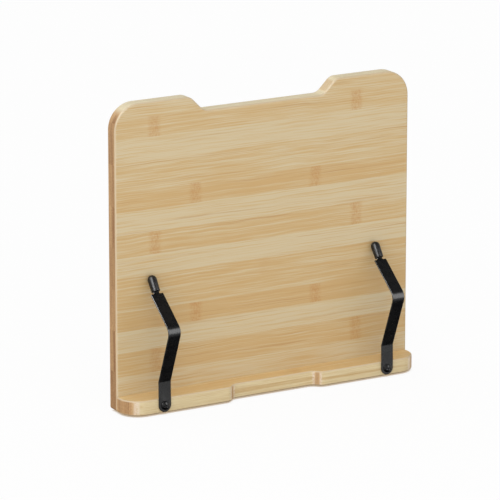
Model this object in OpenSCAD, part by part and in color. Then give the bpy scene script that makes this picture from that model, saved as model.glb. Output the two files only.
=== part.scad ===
// Folding book display stand: a bamboo back board with a book ledge, two pivoting
// spring page clips, and a rear leg held by slotted side rails.
// All sizes in millimetres. +X right, +Y to the rear, +Z up. The stand is drawn folded,
// with its board upright, standing on its pads at Z = 0.

/* [Board] */
// Width of the board and the ledge
board_w = 330; // [300:1:450]
// Height of the board
board_h = 303; // [280:1:400]
// Thickness of the bamboo stock
board_t = 15; // [14:0.5:18]
// Radius of the board's top corners
board_corner_r = 25.5; // [5:0.5:40]
// Width of the grip notch at the top edge
notch_w = 164; // [100:1:180]
// Depth of the grip notch
notch_depth = 15; // [12:0.5:30]
// Radius where the notch's slopes blend into the edges
notch_blend_r = 12; // [1:0.5:14]

/* [Ledge] */
// Depth of the ledge in front of the board
ledge_depth = 25; // [24:0.5:45]
// Radius of the ledge's front corners
ledge_corner_r = 20; // [5:0.5:23]
// Width of the recess in the ledge's front edge
recess_w = 104; // [60:1:104]
// Depth of the recess
recess_depth = 7.5; // [6.5:0.5:10]
// Radius where the recess's slopes blend into the edge
recess_blend_r = 9; // [1:0.5:9]

/* [Page clips] */
// Distance of each clip's middle from the side of the board
clip_inset = 38.5; // [34:0.5:50]
// Width of the spring strip
clip_w = 13.5; // [10:0.1:14]
// Thickness of the spring strip
clip_t = 1.5; // [1:0.1:2]
// Height of the clip's screw above the underside of the ledge
clip_screw_z = 8; // [7:0.5:9]
// Height at which the strip starts to lean forward
clip_lean_z = 32; // [25:0.5:45]
// How far the strip's front bend reaches in front of its flat
clip_reach = 23.2; // [18:0.1:30]
// Height of the front bend
clip_bend_z = 87.5; // [80:0.5:95]
// Inner radius of the front bend
clip_bend_r = 8; // [6:0.1:14]
// Radius of the rubber tip
tip_r = 4.6; // [4:0.1:6]
// Height of the centre of the tip's round end
tip_z = 128.6; // [120:0.1:132]
// Lean of the tip from vertical
tip_lean = 35; // [20:1:40]
// How far both clips lean to the left at rest, in degrees
clip_tilt = 0.7; // [0:0.1:3]

/* [Rear support] */
// Height of the leg's hinge above the underside of the board
hinge_z = 205; // [190:1:240]
// Width of the leg
leg_w = 90; // [60:1:120]
// Thickness of the leg
leg_t = 12; // [10:0.5:13]
// Gap between the folded leg's foot and the level of the board's underside
leg_clear = 3; // [1:0.5:10]
// Distance between the centres of each stay arm
stay_len = 70; // [60:1:75]
// Widest opening angle of the leg
leg_open = 75; // [70:1:80]
// Number of working angles
stop_count = 6; // [4:1:6]
// Height of the pads under the board and the ledge
foot_h = 1.5; // [1:0.5:3]

/* [Hidden] */
$fn = 48;

// Colours
bamboo = [0.80, 0.68, 0.50];
bamboo_dark = [0.74, 0.60, 0.41];
black_steel = [0.10, 0.10, 0.11];
black_screw = [0.07, 0.07, 0.08];
rubber = [0.16, 0.16, 0.17];

// Fits
slack = 0.05;    // radial clearance of a running fit or a screw in its pilot hole
gap = 0.2;       // clearance between faces that slide past each other

// Fasteners
screw_r = 2;             // shank of the wood screws
screw_head_r = 4.5;      // pan head
screw_head_h = 2.6;
clip_screw_len = 22;
ledge_screw_len = 35;
ledge_screw_inset = [20, 95];   // from the side of the board
ledge_screw_z = board_t / 2;
ledge_screw_x = [for (side = [-1, 1], inset = ledge_screw_inset) side * (board_w / 2 - inset)];
rail_screw_len = 12;
rail_screw_head_r = 4;
rail_screw_head_h = 2.2;

// Clip: the flat sits on a thin washer in front of the ledge
clip_x = board_w / 2 - clip_inset;
washer_t = 0.3;
washer_r = 6;
neck_w = 6;
neck_len = 13.6;         // from the tip's round centre back to the neck's bend
neck_bend_r = 1.5;
lean_bend_r = clip_t / 2 + 0.3;
shoulder_back = 1.2;     // the full width stops this far before the neck's bend
tip_body = 12.4;         // from the tip's round centre back to its base
tip_taper = 0.25;
tongue_gap = 3;          // solid rubber between the tongue's end and the round centre
clip_mid_y = -ledge_depth - washer_t - clip_t / 2;
tip_centre = [-tip_r - gap, tip_z];
tip_axis = [sin(tip_lean), cos(tip_lean)];
neck_bend = tip_centre - neck_len * tip_axis;
front_bend = [clip_mid_y - clip_reach, clip_bend_z];
lean_bend = [clip_mid_y, clip_lean_z];

// Rear support
hinge_y = board_t + 8;
leg_top_r = leg_t / 2;
leg_len = hinge_z - leg_clear - leg_top_r;   // from the hinge to the end of the wood
grip_hole_w = 40;
grip_hole_r = 9;
grip_hole_up = 45;       // from the end of the wooden leg
stay_w = 10;
stay_t = 2;
stay_washer_t = 1;
stay_inner_x = leg_w / 2 + stay_washer_t;
stay_outer_x = stay_inner_x + stay_t;
stay_head_h = 2.5;
rail_t = 2;
rail_inner_x = stay_outer_x + 3.5;
rail_outer_x = rail_inner_x + rail_t;
rail_depth = 17;
rail_flange = 16;
rail_corner_r = 7;
rail_over = 10;          // rail beyond the hinge and beyond the folded slide pin
rail_low_z = hinge_z - 2 * stay_len - rail_over;
rail_high_z = hinge_z + rail_over;
rail_screw_x = rail_outer_x + 8.5;
rail_screw_z = [rail_low_z + 20, (rail_low_z + rail_high_z) / 2, rail_high_z - 20];
pin_r = 2;
slot_r = pin_r + 0.3;
slot_low_z = hinge_z - 2 * stay_len - 1;
slot_high_z = hinge_z - 2 * stay_len * cos(leg_open) + 1;
first_stop = 25;
last_stop = leg_open - 3;
stop_reach = 4;
pivot_r = 3;             // shoulder of the leg's pivot screws
pivot_head_r = 5;
pivot_head_h = 2.5;

// Pads
pad_r = 6;
pad_x = board_w / 2 - 30;
pad_front_y = -ledge_depth / 2;
pad_rear_y = board_t / 2;

// The origin is the middle of the folded footprint, on the table
front_y = bend_centre(lean_bend, front_bend, neck_bend, clip_bend_r + clip_t / 2)[0]
    - clip_bend_r - clip_t;
rear_y = board_t + rail_depth;
board_y = -(front_y + rear_y) / 2;

// ---- Geometry helpers ----

function unit(v) = v / norm(v);
function angle_of(v) = atan2(v[1], v[0]);
function polar(r, a) = r * [cos(a), sin(a)];

// Centre of an arc of radius r that touches both sides of the corner a-b-c
function bend_centre(a, b, c, r) = let (
        u = unit(a - b),
        v = unit(c - b),
        half = acos(u * v) / 2
    ) b + unit(u + v) * r / sin(half);

// Points of that arc, from side ab to side bc, about every 6 degrees
function bend(a, b, c, r) = r == 0 ? [b] : let (
        u = unit(a - b),
        v = unit(c - b),
        half = acos(u * v) / 2,
        centre = bend_centre(a, b, c, r),
        start = angle_of(b + u * r / tan(half) - centre),
        turn_raw = angle_of(b + v * r / tan(half) - centre) - start,
        turn = turn_raw > 180 ? turn_raw - 360 : turn_raw < -180 ? turn_raw + 360 : turn_raw,
        steps = ceil(abs(turn) / 6)
    ) [for (i = [0 : steps]) centre + polar(r, start + turn * i / steps)];

// A closed outline with each corner rounded by its own radius
function rounded(p, r) = let (n = len(p))
    [for (i = [0 : n - 1]) each bend(p[(i + n - 1) % n], p[i], p[(i + 1) % n], r[i])];

// An open path with each inner corner rounded by its own radius
function rounded_path(p, r) = let (n = len(p)) concat(
    [p[0]],
    [for (i = [1 : n - 2]) each bend(p[i - 1], p[i], p[i + 1], r[i - 1])],
    [p[n - 1]]
);

// Outline of a strip of thickness t that follows an open path
function edge_normal(p, i) = let (d = unit(p[i + 1] - p[i])) [-d[1], d[0]];
function beside(p, i, d) = let (
        n1 = edge_normal(p, max(i - 1, 0)),
        n2 = edge_normal(p, min(i, len(p) - 2))
    ) p[i] + d * (n1 + n2) / (1 + n1 * n2);
function strip_outline(p, t) = concat(
    [for (i = [0 : len(p) - 1]) beside(p, i, t / 2)],
    [for (i = [len(p) - 1 : -1 : 0]) beside(p, i, -t / 2)]
);

// The same outline mirrored to negative x, so that half an outline is enough
function both_sides(half) = concat(
    half,
    [for (i = [len(half) - 1 : -1 : 0]) [-half[i][0], half[i][1]]]
);
function both_radii(r) = concat(r, [for (i = [len(r) - 1 : -1 : 0]) r[i]]);

// A flat shape drawn in X and Z, made solid from y0 to y1
module along_y(y0, y1) {
    translate([0, y1, 0]) rotate([90, 0, 0]) linear_extrude(y1 - y0) children();
}

// A flat shape drawn in Y and Z, made solid from x0 to x1
module along_x(x0, x1) {
    translate([x0, 0, 0]) rotate([90, 0, 90]) linear_extrude(x1 - x0) children();
}

module rod_x(x0, x1, r) {
    translate([x0, 0, 0]) rotate([0, 90, 0]) cylinder(h = x1 - x0, r = r);
}

module rod_y(y0, y1, r) {
    translate([0, y0, 0]) rotate([-90, 0, 0]) cylinder(h = y1 - y0, r = r);
}

// Right-hand parts are drawn as they are, left-hand parts are their mirror images
module on_side(side) {
    if (side < 0) mirror([1, 0, 0]) children();
    else children();
}

// Moves a part from the board's own place to its place in the folded stand
module in_place() {
    translate([0, board_y, foot_h]) children();
}

module at_hinge() {
    translate([0, hinge_y, hinge_z]) children();
}

module at_stay_pivot() {
    translate([0, hinge_y, hinge_z - stay_len]) children();
}

module at_slide_pin() {
    translate([0, hinge_y, hinge_z - 2 * stay_len]) children();
}

// ---- Fasteners, drawn with the head up and its seat at z = 0 ----

module cross_recess(r, top, depth) {
    for (a = [0, 90]) rotate(a)
        translate([-r, -r * 0.2, top - depth]) cube([2 * r, r * 0.4, depth + 1]);
}

// Domed head: a short straight rim, then an arc up to the crown
function dome(r, h) = let (
        rim = h * 0.3,
        rise = h - rim,
        big = (r * r + rise * rise) / (2 * rise),
        edge = asin(r / big)
    ) concat(
        [[0, 0], [r, 0]],
        [for (i = [0 : 6]) [big * sin(edge * (1 - i / 6)), h - big + big * cos(edge * (1 - i / 6))]]
    );

module domed_head(r, h) {
    difference() {
        rotate_extrude() polygon(dome(r, h));
        cross_recess(r * 0.52, h, h * 0.62);
    }
}

module pointed_shank(r, length) {
    point = 1.5 * r;
    rotate_extrude() polygon([[0, 0.1], [r, 0.1], [r, point - length], [0, -length]]);
}

module pan_screw(head_r, head_h, length) {
    domed_head(head_r, head_h);
    pointed_shank(screw_r, length);
}

module countersunk_screw(length) {
    difference() {
        rotate_extrude() polygon([
            [0, 0], [2 * screw_r, 0], [screw_r, -screw_r],
            [screw_r, 1.5 * screw_r - length], [0, -length]
        ]);
        cross_recess(screw_r * 1.1, 0, 1.4);
    }
}

// ---- Bamboo parts ----

function board_half() = let (top = board_h, inner = notch_w / 2 - notch_depth) [
    [board_w / 2, 0],
    [board_w / 2, top],
    [notch_w / 2, top],
    [inner, top - notch_depth]
];

module board() {
    color(bamboo) in_place() difference() {
        along_y(0, board_t) polygon(rounded(
            both_sides(board_half()),
            both_radii([0, board_corner_r, notch_blend_r, notch_blend_r])
        ));
        for (x = ledge_screw_x) translate([x, 0, ledge_screw_z]) {
            rod_y(-1, board_t + 1, screw_r + slack);
            translate([0, board_t - screw_r - 2 * slack, 0]) rotate([-90, 0, 0])
                cylinder(h = screw_r + 1, r1 = screw_r, r2 = 2 * screw_r + 1);
        }
        for (x = [-rail_screw_x, rail_screw_x], z = rail_screw_z) translate([x, 0, z])
            rod_y(board_t - rail_screw_len + rail_t - gap, board_t + 1, screw_r + slack);
    }
}

function ledge_half() = let (front = -ledge_depth) [
    [board_w / 2, 0],
    [board_w / 2, front],
    [recess_w / 2, front],
    [recess_w / 2 - recess_depth, front + recess_depth]
];

module ledge() {
    clip_hole = clip_screw_len - clip_t - washer_t + gap;
    board_hole = ledge_screw_len - board_t + gap;
    color(bamboo_dark) in_place() difference() {
        linear_extrude(board_t) polygon(rounded(
            both_sides(ledge_half()),
            both_radii([0, ledge_corner_r, recess_blend_r, recess_blend_r])
        ));
        for (x = [-clip_x, clip_x]) translate([x, -ledge_depth, clip_screw_z])
            rod_y(-1, clip_hole, screw_r + slack);
        for (x = ledge_screw_x) translate([x, 0, ledge_screw_z])
            rod_y(-board_hole, 1, screw_r + slack);
    }
}

module ledge_screws() {
    color(black_screw) in_place()
        for (x = ledge_screw_x) translate([x, board_t, ledge_screw_z])
            rotate([-90, 0, 0]) countersunk_screw(ledge_screw_len);
}

module foot_pads() {
    color(rubber) translate([0, board_y, 0])
        for (x = [-pad_x, pad_x], y = [pad_front_y, pad_rear_y])
            translate([x, y, 0]) cylinder(h = foot_h, r = pad_r);
}

// ---- Page clips ----

// Turns a clip about its pivot screw to its place at rest
module clip_at_rest(side) {
    pivot = [side * clip_x, 0, clip_screw_z];
    translate(pivot) rotate([0, -clip_tilt, 0]) translate(-pivot) children();
}

module clip_strip(side) {
    leg_dir = unit(neck_bend - front_bend);
    shoulder = neck_bend - shoulder_back * leg_dir;
    tongue_end = tip_centre - tongue_gap * tip_axis;
    wide = rounded_path(
        [[clip_mid_y, clip_screw_z], lean_bend, front_bend, shoulder],
        [lean_bend_r, clip_bend_r + clip_t / 2]
    );
    narrow = rounded_path([shoulder - leg_dir, neck_bend, tongue_end], [neck_bend_r]);
    color(black_steel) in_place() clip_at_rest(side) on_side(side)
    translate([clip_x, 0, 0]) difference() {
        union() {
            along_x(-clip_w / 2, clip_w / 2) polygon(strip_outline(wide, clip_t));
            along_x(-neck_w / 2, neck_w / 2) polygon(strip_outline(narrow, clip_t));
            translate([0, clip_mid_y, clip_screw_z]) rod_y(-clip_t / 2, clip_t / 2, clip_w / 2);
        }
        translate([0, clip_mid_y, clip_screw_z]) rod_y(-clip_t, clip_t, screw_r + slack);
    }
}

// Rubber tip: a round-nosed sleeve, a little slimmer at its base
module clip_tip(side) {
    base_r = tip_r - tip_taper;
    lip = 0.6;
    profile = concat(
        [[0, -tip_body]],
        [for (a = [-90 : 30 : 0]) [base_r - lip, -tip_body + lip] + polar(lip, a)],
        [for (a = [0 : 7.5 : 90]) polar(tip_r, a)]
    );
    color(rubber) in_place() clip_at_rest(side) on_side(side)
        translate([clip_x, tip_centre[0], tip_centre[1]]) rotate([-tip_lean, 0, 0])
        difference() {
            rotate_extrude() polygon(profile);
            translate([-neck_w / 2 - slack, -clip_t / 2 - slack, -tip_body - 1])
                cube([neck_w + 2 * slack, clip_t + 2 * slack, tip_body - tongue_gap + 1 + slack]);
        }
}

module clip_screw(side) {
    color(black_screw) in_place() on_side(side)
        translate([clip_x, clip_mid_y - clip_t / 2 - slack, clip_screw_z]) rotate([90, 0, 0])
        pan_screw(screw_head_r, screw_head_h, clip_screw_len);
}

module clip_washer(side) {
    color(rubber) in_place() on_side(side)
        translate([clip_x, -ledge_depth, clip_screw_z]) difference() {
            rod_y(slack - washer_t, 0, washer_r);
            rod_y(-1, 1, screw_r + slack);
        }
}

// ---- Rear support ----

// Height of the slide pin at working angle number i
function stop_z(i) = let (a = first_stop + (last_stop - first_stop) * i / (stop_count - 1))
    hinge_z - 2 * stay_len * cos(a);

// Slot for the slide pin, with a hooked stop at each working angle
module rail_slot() {
    module cut(z0, z1) {
        translate([0, hinge_y, z0]) rod_x(rail_inner_x - 1, rail_outer_x + 1, slot_r);
        translate([0, hinge_y, z1]) rod_x(rail_inner_x - 1, rail_outer_x + 1, slot_r);
        translate([rail_inner_x - 1, hinge_y - slot_r, z0])
            cube([rail_t + 2, 2 * slot_r, z1 - z0]);
    }
    cut(slot_low_z, slot_high_z);
    for (i = [0 : stop_count - 1]) translate([0, hinge_y, stop_z(i)])
        rotate([-45, 0, 0]) {
            translate([rail_inner_x - 1, -slot_r, 0]) cube([rail_t + 2, 2 * slot_r, stop_reach]);
            translate([0, 0, stop_reach]) rod_x(rail_inner_x - 1, rail_outer_x + 1, slot_r);
        }
}

module rail(side) {
    back = board_t;
    rear = board_t + rail_depth;
    web = rounded(
        [[back, rail_low_z], [rear, rail_low_z], [rear, rail_high_z], [back, rail_high_z]],
        [0, rail_corner_r, rail_corner_r, 0]
    );
    color(black_steel) in_place() on_side(side) difference() {
        union() {
            along_x(rail_inner_x, rail_outer_x) polygon(web);
            translate([rail_inner_x, back, rail_low_z])
                cube([rail_t + rail_flange, rail_t, rail_high_z - rail_low_z]);
        }
        at_hinge() rod_x(rail_inner_x - 1, rail_outer_x + 1, pivot_r + slack);
        rail_slot();
        for (z = rail_screw_z) translate([rail_screw_x, back, z])
            rod_y(-1, rail_t + 1, screw_r + slack);
    }
}

module rail_screws() {
    color(black_screw) in_place()
        for (x = [-rail_screw_x, rail_screw_x], z = rail_screw_z)
            translate([x, board_t + rail_t, z]) rotate([-90, 0, 0])
                pan_screw(rail_screw_head_r, rail_screw_head_h, rail_screw_len);
}

module leg() {
    half = leg_w / 2;
    pivot_hole = 16;
    stay_hole = 13;
    color(bamboo) in_place() difference() {
        at_hinge() {
            rod_x(-half, half, leg_top_r);
            translate([-half, -leg_t / 2, -leg_len]) cube([leg_w, leg_t, leg_len]);
        }
        for (side = [-1, 1]) on_side(side) {
            at_hinge() rod_x(half - pivot_hole, half + 1, screw_r + slack);
            at_stay_pivot() rod_x(half - stay_hole, half + 1, screw_r + slack);
        }
        translate([0, hinge_y, hinge_z - leg_len + grip_hole_up])
            for (x = [-1, 1] * (grip_hole_w / 2 - grip_hole_r)) translate([x, 0, 0])
                rod_y(-leg_t, leg_t, grip_hole_r);
        translate([grip_hole_r - grip_hole_w / 2, hinge_y - leg_t,
            hinge_z - leg_len + grip_hole_up - grip_hole_r])
            cube([grip_hole_w - 2 * grip_hole_r, 2 * leg_t, 2 * grip_hole_r]);
    }
}

// Half-round rubber strip on the leg's end
module leg_foot() {
    half = leg_w / 2;
    color(rubber) in_place() translate([0, hinge_y, hinge_z - leg_len]) difference() {
        rod_x(-half, half, leg_t / 2);
        translate([-half - 1, -leg_t, 0]) cube([leg_w + 2, 2 * leg_t, leg_t]);
    }
}

// Shoulder screw: the shoulder turns in the rail, the thread holds in the leg's edge
module leg_screw(side) {
    color(black_screw) in_place() on_side(side) at_hinge() {
        rod_x(leg_w / 2, rail_outer_x + gap, pivot_r);
        rod_x(leg_w / 2 - 14, leg_w / 2 + 0.1, screw_r);
        translate([rail_outer_x + gap, 0, 0]) rotate([0, 90, 0])
            domed_head(pivot_head_r, pivot_head_h);
    }
}

module leg_spacer(side) {
    color(black_steel) in_place() on_side(side) at_hinge() difference() {
        rod_x(leg_w / 2, rail_inner_x - gap, pivot_r + 2.5);
        rod_x(leg_w / 2 - 1, rail_inner_x + 1, pivot_r + slack);
    }
}

// Flat arm with round ends, a hole at the top and the slide pin's seat at the bottom
module stay_arm(side) {
    color(black_steel) in_place() on_side(side) difference() {
        union() {
            at_stay_pivot() rod_x(stay_inner_x, stay_outer_x, stay_w / 2);
            at_slide_pin() rod_x(stay_inner_x, stay_outer_x, stay_w / 2);
            at_slide_pin() translate([stay_inner_x, -stay_w / 2, 0])
                cube([stay_t, stay_w, stay_len]);
        }
        at_stay_pivot() rod_x(stay_inner_x - 1, stay_outer_x + 1, screw_r + slack);
        at_slide_pin() rod_x(stay_inner_x - 1, stay_outer_x + 1, screw_r + slack);
    }
}

module stay_screw(side) {
    color(black_screw) in_place() on_side(side) at_stay_pivot() {
        rod_x(leg_w / 2 - 12, stay_outer_x + slack + 0.1, screw_r);
        translate([stay_outer_x + slack, 0, 0]) rotate([0, 90, 0])
            domed_head(rail_screw_head_r, stay_head_h);
    }
}

module stay_washer(side) {
    color(rubber) in_place() on_side(side) at_stay_pivot() difference() {
        rod_x(leg_w / 2, stay_inner_x - slack, stay_w / 2);
        rod_x(leg_w / 2 - 1, stay_inner_x + 1, screw_r + slack);
    }
}

// Riveted pin: a tail through the arm, a collar, the pin in the slot and an outer head
module slide_pin(side) {
    collar_r = 3.5;
    head_r = 4;
    head_h = 1.6;
    color(black_screw) in_place() on_side(side) at_slide_pin() {
        rod_x(stay_inner_x - 0.1, rail_outer_x + gap + 0.1, pin_r);
        rod_x(stay_outer_x, rail_inner_x - gap, collar_r);
        translate([rail_outer_x + gap, 0, 0]) rotate([0, 90, 0])
            rotate_extrude() polygon(dome(head_r, head_h));
    }
}

board();
ledge();
ledge_screws();
foot_pads();
clip_strip(-1);  // left_clip_strip
clip_strip(1);  // right_clip_strip
clip_tip(-1);  // left_clip_tip
clip_tip(1);  // right_clip_tip
clip_screw(-1);  // left_clip_screw
clip_screw(1);  // right_clip_screw
clip_washer(-1);  // left_clip_washer
clip_washer(1);  // right_clip_washer
rail(-1);  // left_rail
rail(1);  // right_rail
rail_screws();
leg();
leg_foot();
leg_screw(-1);  // left_leg_screw
leg_screw(1);  // right_leg_screw
leg_spacer(-1);  // left_leg_spacer
leg_spacer(1);  // right_leg_spacer
stay_arm(-1);  // left_stay_arm
stay_arm(1);  // right_stay_arm
stay_screw(-1);  // left_stay_screw
stay_screw(1);  // right_stay_screw
stay_washer(-1);  // left_stay_washer
stay_washer(1);  // right_stay_washer
slide_pin(-1);  // left_slide_pin
slide_pin(1);  // right_slide_pin
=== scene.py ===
"""Looks of the folding bamboo book stand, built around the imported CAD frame.

Lengths are in metres, in the CAD frame: +X right, +Y to the rear, +Z up.
Pieces are made in mesh code from a few named sizes and from the CAD nodes' boxes.
"""
import math

import bmesh
import bpy
import numpy as np
from mathutils import Matrix, Vector


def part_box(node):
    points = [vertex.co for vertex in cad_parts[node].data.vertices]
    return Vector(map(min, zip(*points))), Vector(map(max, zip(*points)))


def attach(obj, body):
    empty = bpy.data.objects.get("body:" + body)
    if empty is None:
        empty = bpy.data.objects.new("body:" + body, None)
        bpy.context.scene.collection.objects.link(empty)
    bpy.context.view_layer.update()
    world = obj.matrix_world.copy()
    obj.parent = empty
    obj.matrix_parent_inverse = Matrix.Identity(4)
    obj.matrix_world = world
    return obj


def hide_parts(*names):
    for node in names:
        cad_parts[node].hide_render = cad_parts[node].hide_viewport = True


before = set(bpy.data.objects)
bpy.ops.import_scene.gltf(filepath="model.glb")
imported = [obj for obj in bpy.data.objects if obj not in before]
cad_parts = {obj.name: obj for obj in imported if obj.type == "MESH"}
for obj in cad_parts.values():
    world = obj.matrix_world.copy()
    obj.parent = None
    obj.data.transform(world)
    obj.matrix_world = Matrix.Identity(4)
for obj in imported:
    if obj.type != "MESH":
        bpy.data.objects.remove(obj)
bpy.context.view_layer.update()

MM = 0.001
SIDES = ("left", "right")

# -------- sizes

# Bamboo parts
BOARD_CORNER = 25.5 * MM
NOTCH_WIDTH = 164 * MM
NOTCH_DEPTH = 15 * MM
NOTCH_BLEND = 12 * MM
LEDGE_CORNER = 20 * MM
RECESS_WIDTH = 104 * MM
RECESS_DEPTH = 7.5 * MM
RECESS_BLEND = 9 * MM
WOOD_EDGE = 1.9 * MM  # round-over of the board's and the leg's edges
LEDGE_EDGE_RADIUS = 0.8 * WOOD_EDGE
SMALL_CORNER = 2.6 * MM  # corners that look square
GRIP_HOLE_WIDTH = 40 * MM
GRIP_HOLE_HEIGHT = 18 * MM
GRIP_HOLE_UP = 45 * MM  # above the end of the wooden leg
GRIP_HOLE_EDGE = 1.5 * MM

# Rubber feet
FOOT_EDGE = 0.6 * MM
PAD_RADIUS = 6 * MM
PAD_EDGE = 0.5 * MM

# Page clips, as the strip's middle line seen from the side
STRIP_WIDTH = 13.5 * MM
STRIP_THICKNESS = 1.5 * MM
STRIP_EDGE = 0.42 * MM  # flat chamfer
STRIP_CORNER = 0.6 * MM
STRIP_LEAN_HEIGHT = 32 * MM  # height of the first bend above the ledge's underside
STRIP_REACH = 23.2 * MM
STRIP_BEND_HEIGHT = 87.5 * MM
STRIP_LEAN_RADIUS = 1.05 * MM
STRIP_BEND_RADIUS = 8.75 * MM
NECK_WIDTH = 6 * MM
NECK_BEND_RADIUS = 1.5 * MM
NECK_LENGTH = 13.6 * MM
SHOULDER_BACK = 1.2 * MM
TONGUE_GAP = 3 * MM  # from the tongue's end to the centre of the tip's round end
TIP_RADIUS = 4.6 * MM
TIP_BODY = 12.4 * MM
TIP_TAPER = 0.25 * MM
TIP_EDGE = 0.45 * MM
TIP_MOUTH = 3.3 * MM  # radius of the hollow round the neck
TIP_MOUTH_DEPTH = 1.6 * MM
TIP_LEAN = math.radians(35)
CLIP_TILT = math.radians(0.7)  # both clips lean to the left at rest

# Fasteners: a head is its radius and its height, and a screw also has its length
SHANK = 2 * MM
SLACK = 0.05 * MM  # clearance of a screw in its hole, and of a strip on its washer
SUNK = 0.05 * MM  # depth of the ledge screws' heads under the board's back
POINT = 1.5 * SHANK  # length of a screw's point
HEAD_EDGE = 0.15 * MM
RECESS_EDGE = 0.10 * MM
SHORTEST_EDGE = 0.08 * MM
CLIP_SCREW = (4.5 * MM, 2.6 * MM, 22 * MM)
RAIL_SCREW = (4 * MM, 2.2 * MM, 12 * MM)
LEG_HEAD = (5 * MM, 2.5 * MM)
STAY_HEAD = (4 * MM, 2.5 * MM)
PIN_HEAD = (4 * MM, 1.6 * MM)
LEDGE_SCREW_LENGTH = 35 * MM
SCREWS_APART = 12 * MM  # screws of one group are farther apart than this
PIVOT_SHANK = 3 * MM
LEG_SHOULDER = 8.7 * MM
COLLAR_RADIUS = 3.5 * MM  # of the slide pins
COLLAR_START = 2.1 * MM
COLLAR_END = 5.4 * MM

# Sheet metal
STAY_EDGE = SPACER_EDGE = 0.3 * MM
WASHER_EDGE = 0.15 * MM
RAIL_EDGE = 0.25 * MM
RAIL_WELD = 0.002 * MM

# Meshes
CREASE = math.radians(35)  # edges sharper than this are drawn sharp
TOUCH = 0.0001 * MM  # points closer than this are in the same place
FLAT_AREA = 0.0001 * MM ** 2  # a face smaller than this has no area
TURNED_SIDES = 48
THROUGH = 5 * MM  # half the length of the cutters that open bores


# -------- flat outlines

def unit(v):
    return v / np.linalg.norm(v)


def corner_arc(a, b, c, radius, step=math.radians(5)):
    """Points of the arc of this radius that touches both sides of the corner a-b-c."""
    u, v = unit(a - b), unit(c - b)
    half = math.acos(float(np.clip(u @ v, -1, 1))) / 2
    centre = b + unit(u + v) * radius / math.sin(half)
    start = b + u * radius / math.tan(half) - centre
    end = b + v * radius / math.tan(half) - centre
    first = math.atan2(start[1], start[0])
    turn = math.atan2(end[1], end[0]) - first
    turn = (turn + math.pi) % (2 * math.pi) - math.pi
    count = max(2, math.ceil(abs(turn) / step))
    angles = first + turn * np.arange(count + 1) / count
    return [centre + radius * np.array([math.cos(t), math.sin(t)]) for t in angles]


def rounded(points, radii, step=math.radians(5)):
    """Closed outline whose corners are rounded, each by its own radius."""
    points = [np.array(p, float) for p in points]
    made = []
    for i, radius in enumerate(radii):
        made += corner_arc(points[i - 1], points[i], points[(i + 1) % len(points)], radius, step)
    return np.array(made)


def mirrored(half, radii):
    """Both halves of an outline that is the same on each side of x = 0."""
    other = [(-x, y) for x, y in reversed(half)]
    return rounded(list(half) + other, list(radii) + list(reversed(radii)))


def oval(width, height, count=24):
    """Outline with two straight sides and two half-round ends."""
    r = height / 2
    turn = np.linspace(-math.pi / 2, math.pi / 2, count)
    right = [(width / 2 - r + r * math.cos(t), r * math.sin(t)) for t in turn]
    left = [(-x, -y) for x, y in right]
    return np.array(right + left)


def inset(outline, distance):
    """The closed outline moved inwards. It runs counter-clockwise."""
    before = outline - np.roll(outline, 1, axis=0)
    after = np.roll(outline, -1, axis=0) - outline
    before /= np.linalg.norm(before, axis=1)[:, None]
    after /= np.linalg.norm(after, axis=1)[:, None]
    n1 = np.stack([-before[:, 1], before[:, 0]], 1)
    n2 = np.stack([-after[:, 1], after[:, 0]], 1)
    scale = distance / (1 + (n1 * n2).sum(1))
    return outline + (n1 + n2) * scale[:, None]


def counter_clockwise(outline):
    x, y = outline[:, 0], outline[:, 1]
    area = (x * np.roll(y, -1) - y * np.roll(x, -1)).sum()
    return outline if area > 0 else outline[::-1]


def fillet(points, radius, segments=4):
    """An open (radius, height) profile with its inner corners rounded."""
    points = [np.array(p, float) for p in points]
    made = [points[0]]
    for a, b, c in zip(points, points[1:], points[2:]):
        room = 0.45 * min(np.linalg.norm(a - b), np.linalg.norm(c - b))
        u, v = unit(a - b), unit(c - b)
        half = math.acos(float(np.clip(u @ v, -1, 1))) / 2
        r = min(radius, room * math.tan(half))
        if r < TOUCH or half > math.radians(85):
            made.append(b)
            continue
        made += corner_arc(a, b, c, r, math.radians(90 / segments))
    return made + [points[-1]]


# -------- meshes

def new_piece(name, bm, material, smooth=True):
    """A mesh object from a bmesh, with its material."""
    bmesh.ops.recalc_face_normals(bm, faces=bm.faces)
    mesh = bpy.data.meshes.new(name)
    bm.to_mesh(mesh)
    bm.free()
    for polygon in mesh.polygons:
        polygon.use_smooth = smooth
    mesh.set_sharp_from_angle(angle=CREASE)
    mesh.materials.append(material)
    piece = bpy.data.objects.new(name, mesh)
    bpy.context.scene.collection.objects.link(piece)
    return piece


def finish_piece(piece, body, slot, node):
    """Puts a piece on its CAD body in the place of a CAD node, and hides that node. The slot is not
    used.
    """
    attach(piece, body)
    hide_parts(node)


def span(node):
    """A CAD node's box, and its centre."""
    low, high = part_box(node)
    return low, high, (low + high) / 2


def join_rings(bm, low, high):
    """Faces between two rings of vertices. A ring may also be a single vertex."""
    count = max(len(low), len(high))
    for i in range(count):
        j = (i + 1) % count
        corners = (low[i % len(low)], low[j % len(low)], high[j % len(high)], high[i % len(high)])
        bm.faces.new(list(dict.fromkeys(corners)))


def skin(bm, rings, ladder=False):
    """Joins closed rings of points into a solid, with a flat cap at each end."""
    rows = [[bm.verts.new(p) for p in ring] for ring in rings]
    for low, high in zip(rows, rows[1:]):
        join_rings(bm, low, high)
    for cap in (rows[0], rows[-1]):
        if ladder:
            ladder_cap(bm, cap)
        else:
            bm.faces.new(cap)


def ladder_cap(bm, cap):
    """Closes a ring with cross-strips between its long sides, one from each pair of points.
    A strip without area, where the width jumps, becomes part of the strip before it."""
    count = len(cap)
    first = 0
    for i in range(1, count // 2):
        if i + 1 < count // 2:
            jump = cap[i + 1].co - cap[i].co
            across = cap[-1 - i].co - cap[i].co
            if jump.cross(across).length < FLAT_AREA:
                continue
        bm.faces.new(cap[first:i + 1] + cap[count - 1 - i:count - first])
        first = i


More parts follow.
